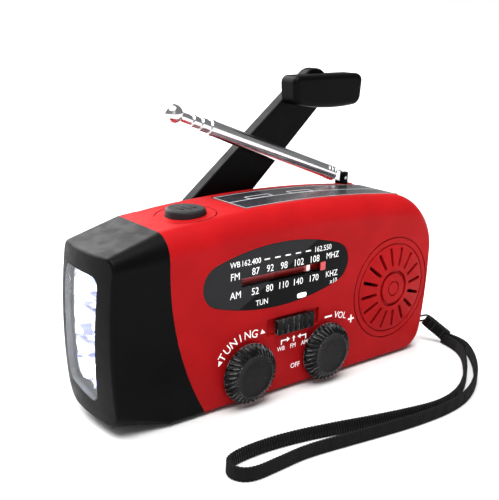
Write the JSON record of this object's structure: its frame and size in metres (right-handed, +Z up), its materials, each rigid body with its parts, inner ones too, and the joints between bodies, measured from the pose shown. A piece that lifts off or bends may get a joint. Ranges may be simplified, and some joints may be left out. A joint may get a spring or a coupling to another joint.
{
  "type": "emergency radio",
  "caption": "Hand-crank and solar emergency radio with a torch head, dial window, knobs, loudspeaker grille, telescopic aerial and wrist strap.",
  "frame": {"origin": "on the flat base under the middle of the case", "axes": "+X from the torch to the strap end, dial faces -Y, +Z up"},
  "size_m": [0.134, 0.0746, 0.0942],
  "materials": {
    "red_shell": "satin",
    "black_shell": "satin",
    "black_rubber": "matte",
    "knob_black": "satin",
    "clear_window": "clear",
    "reflector": "mirror",
    "led": "gloss",
    "board": "satin",
    "component": "matte",
    "solar": "gloss",
    "dial_print": "satin",
    "dial_red": "gloss",
    "dial_white": "gloss",
    "steel": "brushed",
    "chrome": "mirror",
    "battery_wrap": "gloss",
    "paper": "matte",
    "ferrite": "matte",
    "copper": "satin",
    "nylon": "satin",
    "webbing": "woven",
    "cord": "twisted"
  },
  "bodies": {
    "case": {"band_switch": "component", "battery": "battery_wrap", "board_chips": "component", "board_screws": "steel", "case_screws": "steel", "dial_led": "dial_red", "dial_lens": "clear_window", "dial_plate": "dial_print", "dial_strip": "dial_red", "dynamo": "steel", "ferrite_coil": "copper", "ferrite_rod": "ferrite", "front_shell": "red_shell", "gear_plate": "nylon", "head_shell": "black_shell", "led_board": "board", "main_board": "board", "pointer_rail": "steel", "rear_cover": "red_shell", "socket_board": "board", "solar_panel": "solar", "speaker_cone": "paper", "speaker_frame": "steel", "speaker_magnet": "ferrite", "strap_bar": "steel", "strap_clamp": "webbing", "strap_loop": "webbing", "strap_string": "cord", "torch_leds": "led", "torch_lens": "clear_window", "torch_reflector": "reflector", "torch_switch": "component", "tuning_capacitor": "component", "usb_sockets": "steel", "volume_control": "component"},
    "tuning": {"tuning_knob": "knob_black", "tuning_shaft": "nylon"},
    "pointer": {"dial_pointer": "dial_white"},
    "volume": {"volume_knob": "knob_black", "volume_shaft": "steel"},
    "band": {"band_slider": "knob_black"},
    "torch_key": {"torch_button": "black_rubber"},
    "socket_flap": {"port_cover": "black_rubber"},
    "crank": {"crank_shaft": "steel", "crank_gear": "nylon", "crank_hub": "black_shell"},
    "arm": {"crank_arm": "black_shell", "crank_pin": "steel", "grip_pin": "steel"},
    "grip": {"crank_grip": "black_shell"},
    "pinion": {"dynamo_pinion": "nylon"},
    "aerial_foot": {"aerial_base": "black_shell", "aerial_pin": "steel"},
    "aerial_1": {"aerial_tube_1": "chrome"},
    "aerial_2": {"aerial_tube_2": "chrome"},
    "aerial_3": {"aerial_tube_3": "chrome"},
    "aerial_4": {"aerial_rod": "chrome", "aerial_tip": "chrome"}
  },
  "joints": [
    {"name": "tuning_spin", "type": "hinge", "parent": "case", "child": "tuning", "pos_m": [-0.0191, -0.015, 0.0103], "axis": [0, -1, 0], "range_deg": [-24, 156]},
    {"name": "pointer_slide", "type": "slide", "parent": "case", "child": "pointer", "axis": [1, 0, 0], "range_m": [-0.0209, 0.0033]},
    {"name": "volume_spin", "type": "hinge", "parent": "case", "child": "volume", "pos_m": [0.011, -0.015, 0.0102], "axis": [0, -1, 0], "range_deg": [-150, 130]},
    {"name": "band_slide", "type": "slide", "parent": "case", "child": "band", "axis": [1, 0, 0], "range_m": [-0.002, 0.002]},
    {"name": "torch_press", "type": "slide", "parent": "case", "child": "torch_key", "axis": [0, 0, -1], "range_m": [0, 0.0012], "stiffness_N_per_m": 200},
    {"name": "socket_flap_open", "type": "hinge", "parent": "case", "child": "socket_flap", "pos_m": [0.005, 0.015, 0.0178], "axis": [1, 0, 0], "range_deg": [0, 100]},
    {"name": "crank_spin", "type": "hinge", "parent": "case", "child": "crank", "pos_m": [-0.0324, 0.015, 0.032], "axis": [0, -1, 0], "range_deg": [0, 260]},
    {"name": "dynamo_spin", "type": "hinge", "parent": "case", "child": "pinion", "pos_m": [-0.0183, 0.0064, 0.0371], "axis": [0, -1, 0], "range_deg": [-1044, 4]},
    {"name": "crank_fold", "type": "hinge", "parent": "crank", "child": "arm", "pos_m": [-0.0324, 0.0178, 0.032], "axis": [-0.6626, 0, 0.749], "range_deg": [0, 180]},
    {"name": "grip_spin", "type": "hinge", "parent": "arm", "child": "grip", "pos_m": [0.03096, 0.0154, 0.08806], "axis": [0, -1, 0], "continuous": true},
    {"name": "aerial_swivel", "type": "hinge", "parent": "case", "child": "aerial_foot", "pos_m": [0.0425, 0.0126, 0.0573], "axis": [0, 0, 1], "range_deg": [0, 180]},
    {"name": "aerial_tilt", "type": "hinge", "parent": "aerial_foot", "child": "aerial_1", "pos_m": [0.0425, 0.0126, 0.0573], "axis": [0, 1, 0], "range_deg": [-7, 13]},
    {"name": "aerial_pull_2", "type": "slide", "parent": "aerial_1", "child": "aerial_2", "axis": [-0.9409, 0, 0.3387], "range_m": [0, 0.045]},
    {"name": "aerial_pull_3", "type": "slide", "parent": "aerial_2", "child": "aerial_3", "axis": [-0.9409, 0, 0.3387], "range_m": [0, 0.045]},
    {"name": "aerial_pull_4", "type": "slide", "parent": "aerial_3", "child": "aerial_4", "axis": [-0.9409, 0, 0.3387], "range_m": [0, 0.045]}
  ],
  "couplings": [
    {"joint": "pointer_slide", "follows": "tuning_spin", "m_per_rad": -0.00764},
    {"joint": "dynamo_spin", "follows": "crank_spin", "ratio": -4}
  ]
}
